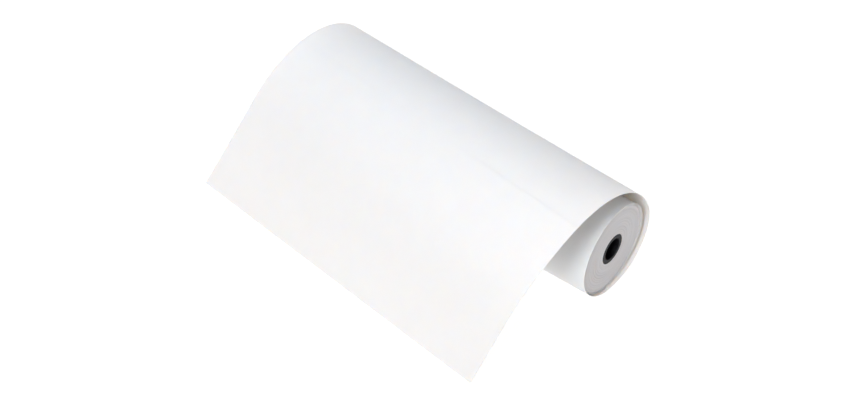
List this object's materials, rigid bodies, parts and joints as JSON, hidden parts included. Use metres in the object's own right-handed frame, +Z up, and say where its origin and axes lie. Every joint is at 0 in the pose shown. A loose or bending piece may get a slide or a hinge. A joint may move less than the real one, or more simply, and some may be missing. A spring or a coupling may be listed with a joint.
{
  "type": "backdrop paper roll",
  "caption": "White paper web wound on an open black tube core, lying on its side, its last turn loosened and its leading end led over the top and down to the table.",
  "frame": {"origin": "middle of the box round the roll and its loose web, at the height of the table it lies on", "axes": "+X along the roll's core, from its far end to its near end; -Y towards the free edge of the sheet; +Z up"},
  "size_m": [0.228, 0.1478, 0.0751],
  "materials": {
    "white_paper": "smooth matt white paper, cut edges faintly ringed",
    "core_plastic": "satin black extruded plastic tube",
    "clear_tape": "thin clear double-sided tape"
  },
  "bodies": {
    "laid_turn": {"loose_turn": "white_paper"},
    "roll": {"core_tube": "core_plastic", "core_tape": "clear_tape", "wound_web": "white_paper"},
    "lifted_sheet": {"upper_sheet": "white_paper"},
    "pulled_sheet": {"leading_sheet": "white_paper"}
  },
  "joints": [
    {"name": "roll_spin", "type": "hinge", "parent": "laid_turn", "child": "roll", "pos_m": [0.00623, 0.02626, 0.0277], "axis": [1, 0, 0], "range_deg": [0, 180]},
    {"name": "sheet_lift", "type": "hinge", "parent": "laid_turn", "child": "lifted_sheet", "pos_m": [0.00913, 0.02494, 0.07093], "axis": [-0.9904, 0.1353, -0.0289], "range_deg": [0, 35]},
    {"name": "web_pay_out", "type": "slide", "parent": "lifted_sheet", "child": "pulled_sheet", "axis": [-0.0998, -0.995, 0], "range_m": [0, 0.0836]}
  ],
  "couplings": [
    {"joint": "web_pay_out", "follows": "roll_spin", "m_per_rad": 0.0266}
  ]
}
